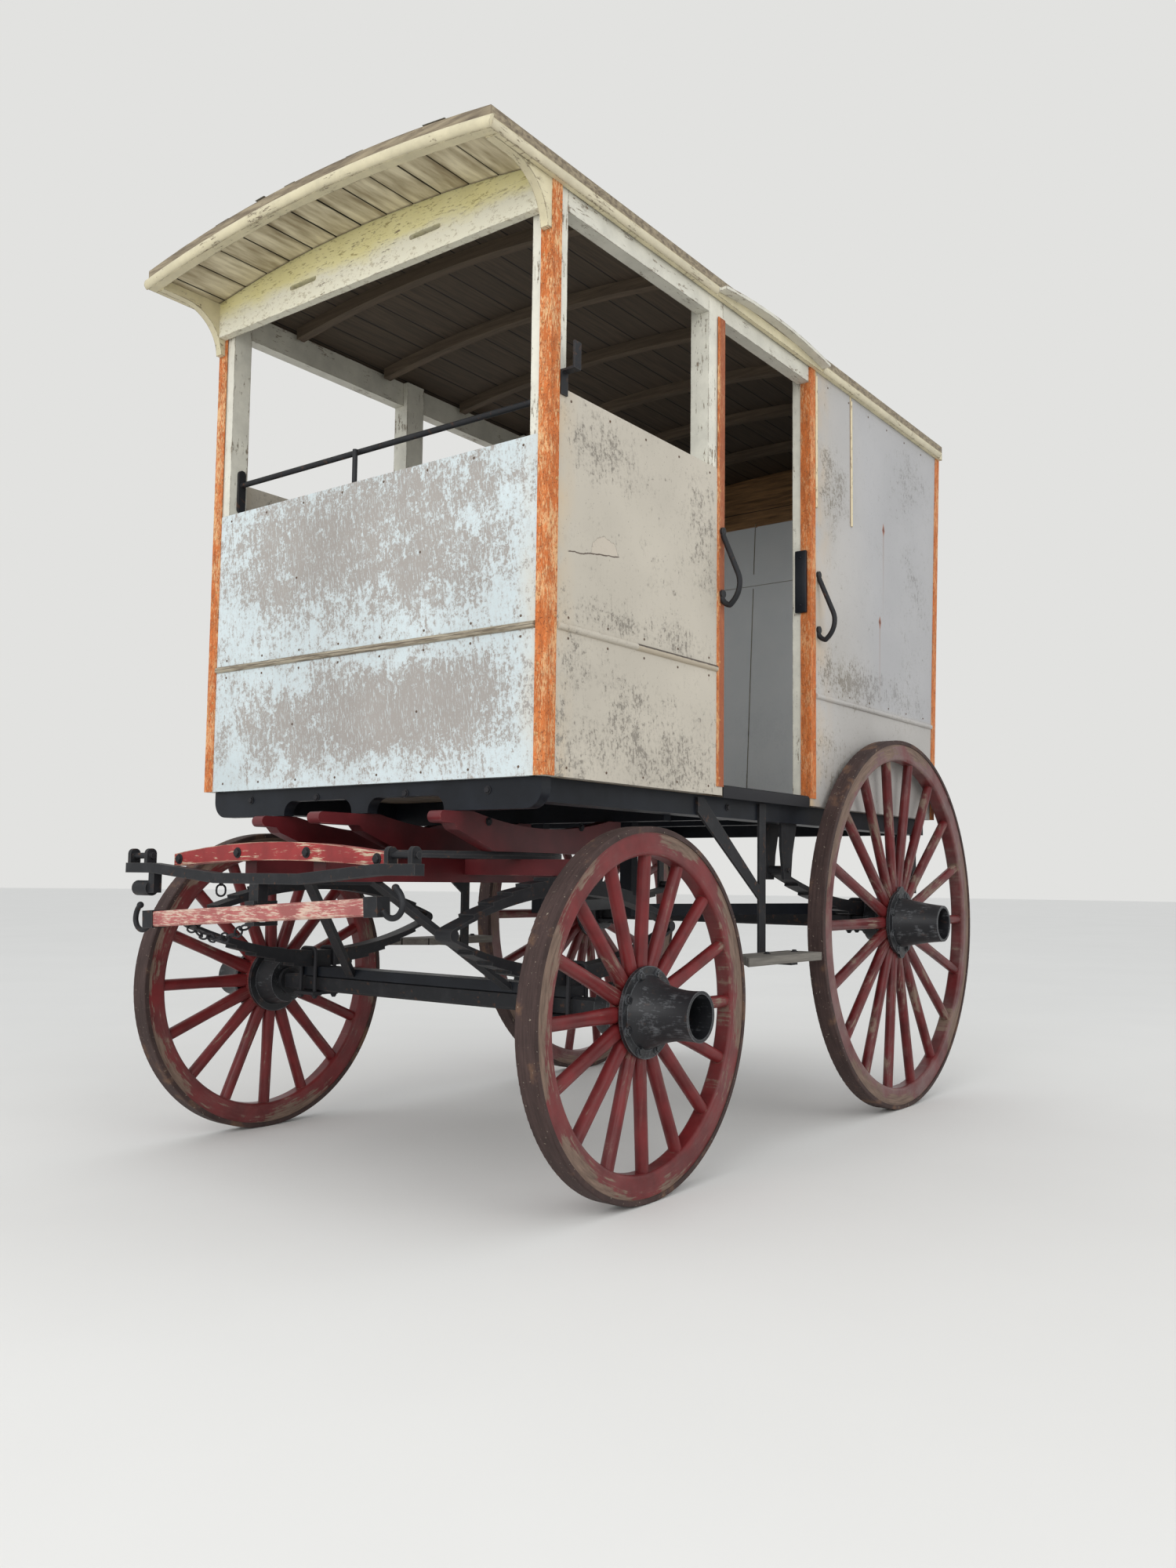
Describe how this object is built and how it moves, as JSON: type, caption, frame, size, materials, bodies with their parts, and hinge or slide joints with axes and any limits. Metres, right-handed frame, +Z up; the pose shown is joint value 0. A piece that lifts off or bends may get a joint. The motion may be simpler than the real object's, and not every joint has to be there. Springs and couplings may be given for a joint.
{
  "type": "horse-drawn delivery wagon",
  "caption": "Box-bodied delivery wagon with open doorways, an arched roof, spoked wheels and a front gear that steers on a turntable.",
  "frame": {"origin": "on the ground at the middle of the wagon's overall length and width", "axes": "+X to the front of the wagon, +Y to its left side, +Z up"},
  "size_m": [2.873, 1.756, 2.5508],
  "materials": {
    "tyre_iron": "worn wrought iron, dull with brown rust",
    "red_wheel_wood": "red paint worn through to brown wood",
    "hub_iron": "black painted casting",
    "black_iron": "black painted forged iron",
    "red_gear_wood": "worn red paint on hardwood",
    "black_wood": "black painted timber",
    "bare_wood": "weathered bare boards",
    "white_frame_wood": "flaking white paint",
    "sheet_panel": "worn white paint over grey steel sheet",
    "rusty_angle": "orange rust with remains of white paint",
    "roof_canvas": "painted canvas, grey with dirt"
  },
  "bodies": {
    "wagon": {"rear_axle": "black_iron", "rear_springs": "black_iron", "turntable_upper": "black_iron", "step_hangers": "black_iron", "spring_hangers": "black_iron", "radius_bars": "black_iron", "front_rail": "black_iron", "grab_handles": "black_iron", "hook_iron": "black_iron", "rocker_bars": "red_gear_wood", "underframe": "black_wood", "front_cross_board": "black_wood", "floor": "bare_wood", "step_boards": "bare_wood", "roof_bows": "bare_wood", "roof_deck": "bare_wood", "front_posts": "white_frame_wood", "door_posts": "white_frame_wood", "rear_posts": "white_frame_wood", "eave_rails": "white_frame_wood", "front_header": "white_frame_wood", "roof_brackets": "white_frame_wood", "roof_edging": "white_frame_wood", "drip_visors": "white_frame_wood", "side_panel_front_left": "sheet_panel", "side_panel_front_right": "sheet_panel", "side_panel_rear_left": "sheet_panel", "side_panel_rear_right": "sheet_panel", "front_panel": "sheet_panel", "rear_wall": "sheet_panel", "corner_irons": "rusty_angle", "roof_canvas": "roof_canvas"},
    "front_gear": {"front_axle": "black_iron", "axle_bed": "red_gear_wood", "front_springs": "black_iron", "front_bolster": "red_gear_wood", "turntable_lower": "black_iron", "draft_rails": "red_gear_wood", "draft_bar": "red_gear_wood", "truss_bar": "black_iron", "shaft_couplings": "black_iron", "tree_clevis": "black_iron", "draft_stays": "black_iron"},
    "singletree": {"singletree": "red_gear_wood", "tree_irons": "black_iron"},
    "front_left_wheel": {"front_left_tyre": "tyre_iron", "front_left_wheel": "red_wheel_wood", "front_left_hub": "hub_iron"},
    "front_right_wheel": {"front_right_tyre": "tyre_iron", "front_right_wheel": "red_wheel_wood", "front_right_hub": "hub_iron"},
    "rear_left_wheel": {"rear_left_tyre": "tyre_iron", "rear_left_wheel": "red_wheel_wood", "rear_left_hub": "hub_iron"},
    "rear_right_wheel": {"rear_right_tyre": "tyre_iron", "rear_right_wheel": "red_wheel_wood", "rear_right_hub": "hub_iron"}
  },
  "joints": [
    {"name": "steering", "type": "hinge", "parent": "wagon", "child": "front_gear", "pos_m": [0.8065, 0, 0.82], "axis": [0, 0, 1], "range_deg": [-30, 30]},
    {"name": "singletree_swing", "type": "hinge", "parent": "front_gear", "child": "singletree", "pos_m": [1.4165, 0, 0.681], "axis": [0, -0.061, 0.9981], "range_deg": [-15, 15]},
    {"name": "front_left_wheel_turn", "type": "hinge", "parent": "front_gear", "child": "front_left_wheel", "pos_m": [0.8065, 0.741, 0.452], "axis": [0, 1, 0], "continuous": true},
    {"name": "front_right_wheel_turn", "type": "hinge", "parent": "front_gear", "child": "front_right_wheel", "pos_m": [0.8065, -0.741, 0.452], "axis": [0, 1, 0], "continuous": true},
    {"name": "rear_left_wheel_turn", "type": "hinge", "parent": "wagon", "child": "rear_left_wheel", "pos_m": [-0.8015, 0.715, 0.635], "axis": [0, 1, 0], "continuous": true},
    {"name": "rear_right_wheel_turn", "type": "hinge", "parent": "wagon", "child": "rear_right_wheel", "pos_m": [-0.8015, -0.715, 0.635], "axis": [0, 1, 0], "continuous": true}
  ]
}
